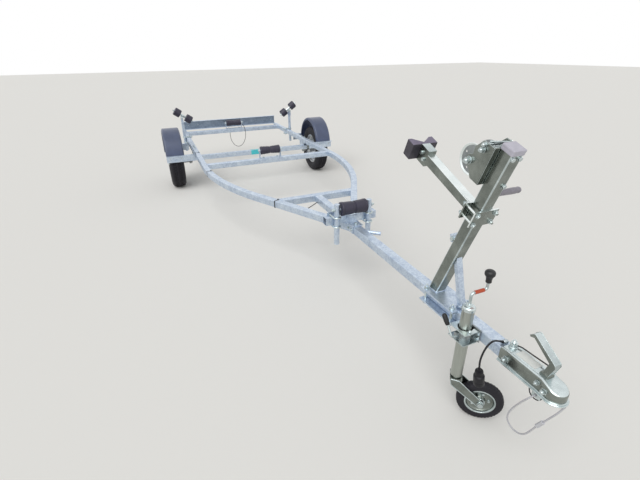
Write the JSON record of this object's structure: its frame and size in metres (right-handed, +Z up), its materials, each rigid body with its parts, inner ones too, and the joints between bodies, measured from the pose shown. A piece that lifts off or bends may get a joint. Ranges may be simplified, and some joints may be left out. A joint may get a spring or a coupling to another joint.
{
  "type": "boat trailer",
  "caption": "Single-axle boat trailer with bent side rails, keel, bow and side rollers, winch post with bow stop, jockey wheel, mudguards and a pressed coupling.",
  "frame": {"origin": "on the floor, below the middle of the overall length and width", "axes": "-Y towards the coupling, +Y towards the rear channel, +X across, to the right as seen from the coupling, +Z up"},
  "size_m": [1.956, 5.4, 1.1672],
  "materials": {
    "galvanised": "satin",
    "zinc_plated": "gloss",
    "black_rubber": "matte",
    "tyre": "matte",
    "black_plastic": "satin",
    "grey_plastic": "satin",
    "red_lens": "gloss"
  },
  "bodies": {
    "chassis": {"axle_beam": "galvanised", "bow_cross_tube": "galvanised", "bow_roller_posts": "galvanised", "bow_stop": "black_rubber", "bow_stop_arm": "zinc_plated", "cable_ferrule": "zinc_plated", "cable_gland": "black_plastic", "clamp_handle": "zinc_plated", "coupling_head": "zinc_plated", "coupling_lever": "zinc_plated", "coupling_loop": "black_plastic", "drawbar": "galvanised", "front_crossmember": "galvanised", "jockey_clamp": "zinc_plated", "keel_roller_brackets": "galvanised", "lighting_cable": "black_plastic", "mid_crossmember": "galvanised", "mudguard_frames": "galvanised", "mudguard_left": "black_plastic", "mudguard_right": "black_plastic", "plug": "black_plastic", "plug_cable": "black_plastic", "post_base_clamp": "zinc_plated", "post_brace": "galvanised", "post_cap": "grey_plastic", "rear_channel": "galvanised", "rear_crossmember": "galvanised", "safety_cable": "grey_plastic", "side_posts": "galvanised", "side_rail_left": "galvanised", "side_rail_right": "galvanised", "strap_plate": "zinc_plated", "swing_arms": "zinc_plated", "tail_lamps": "red_lens", "winch_frame": "zinc_plated", "winch_post": "zinc_plated"},
    "wheel_left": {"rim_left": "zinc_plated", "tyre_left": "tyre"},
    "wheel_right": {"rim_right": "zinc_plated", "tyre_right": "tyre"},
    "rear_roller": {"rear_keel_roller": "black_rubber"},
    "mid_roller": {"mid_keel_roller": "black_rubber"},
    "nose_roller": {"bow_roller": "black_rubber"},
    "head_left": {"side_head_left": "zinc_plated"},
    "head_right": {"side_head_right": "zinc_plated"},
    "roller_left_inner": {"side_roller_left_inner": "black_rubber"},
    "roller_left_outer": {"side_roller_left_outer": "black_rubber"},
    "roller_right_inner": {"side_roller_right_inner": "black_rubber"},
    "roller_right_outer": {"side_roller_right_outer": "black_rubber"},
    "drum": {"winch_drum": "zinc_plated"},
    "crank": {"winch_crank": "zinc_plated", "winch_grip": "grey_plastic"},
    "jockey_leg": {"jockey_tube": "zinc_plated", "jockey_crank": "zinc_plated"},
    "jockey_caster": {"jockey_fork": "zinc_plated"},
    "jockey_wheel": {"jockey_rim": "zinc_plated", "jockey_tyre": "black_rubber"}
  },
  "joints": [
    {"name": "wheel_left_spin", "type": "hinge", "parent": "chassis", "child": "wheel_left", "pos_m": [-0.88, 1.592, 0.275], "axis": [1, 0, 0], "continuous": true},
    {"name": "wheel_right_spin", "type": "hinge", "parent": "chassis", "child": "wheel_right", "pos_m": [0.88, 1.592, 0.275], "axis": [1, 0, 0], "continuous": true},
    {"name": "rear_roller_spin", "type": "hinge", "parent": "chassis", "child": "rear_roller", "pos_m": [0, 2.457, 0.538], "axis": [1, 0, 0], "continuous": true},
    {"name": "mid_roller_spin", "type": "hinge", "parent": "chassis", "child": "mid_roller", "pos_m": [0, 0.634, 0.538], "axis": [1, 0, 0], "continuous": true},
    {"name": "bow_roller_spin", "type": "hinge", "parent": "chassis", "child": "nose_roller", "pos_m": [0, -1.20514, 0.565], "axis": [1, 0, 0], "continuous": true},
    {"name": "head_left_tilt", "type": "hinge", "parent": "chassis", "child": "head_left", "pos_m": [-0.702, 2.08, 0.7], "axis": [0, 1, 0], "range_deg": [-12, 12]},
    {"name": "roller_left_inner_spin", "type": "hinge", "parent": "head_left", "child": "roller_left_inner", "pos_m": [-0.62418, 2.08, 0.68213], "axis": [-0.8192, 0, 0.5736], "continuous": true},
    {"name": "roller_left_outer_spin", "type": "hinge", "parent": "head_left", "child": "roller_left_outer", "pos_m": [-0.74541, 2.08, 0.76702], "axis": [-0.8192, 0, 0.5736], "continuous": true},
    {"name": "head_right_tilt", "type": "hinge", "parent": "chassis", "child": "head_right", "pos_m": [0.702, 2.08, 0.7], "axis": [0, 1, 0], "range_deg": [-12, 12]},
    {"name": "roller_right_inner_spin", "type": "hinge", "parent": "head_right", "child": "roller_right_inner", "pos_m": [0.62418, 2.08, 0.68213], "axis": [0.8192, 0, 0.5736], "continuous": true},
    {"name": "roller_right_outer_spin", "type": "hinge", "parent": "head_right", "child": "roller_right_outer", "pos_m": [0.74541, 2.08, 0.76702], "axis": [0.8192, 0, 0.5736], "continuous": true},
    {"name": "crank_spin", "type": "hinge", "parent": "chassis", "child": "crank", "pos_m": [0, -2.21377, 1.13461], "axis": [1, 0, 0], "continuous": true},
    {"name": "drum_spin", "type": "hinge", "parent": "chassis", "child": "drum", "pos_m": [0, -2.15635, 1.08668], "axis": [1, 0, 0], "continuous": true},
    {"name": "jockey_height", "type": "slide", "parent": "chassis", "child": "jockey_leg", "axis": [0, 0, 1], "range_m": [-0.07, 0.1]},
    {"name": "jockey_swivel", "type": "hinge", "parent": "jockey_leg", "child": "jockey_caster", "pos_m": [-0.06, -2.288, 0.205], "axis": [0, 0, 1], "continuous": true},
    {"name": "jockey_wheel_spin", "type": "hinge", "parent": "jockey_caster", "child": "jockey_wheel", "pos_m": [0.02426, -2.35871, 0.095], "axis": [0.6428, 0.766, 0], "continuous": true}
  ],
  "couplings": [
    {"joint": "drum_spin", "follows": "crank_spin", "ratio": -0.19355}
  ]
}
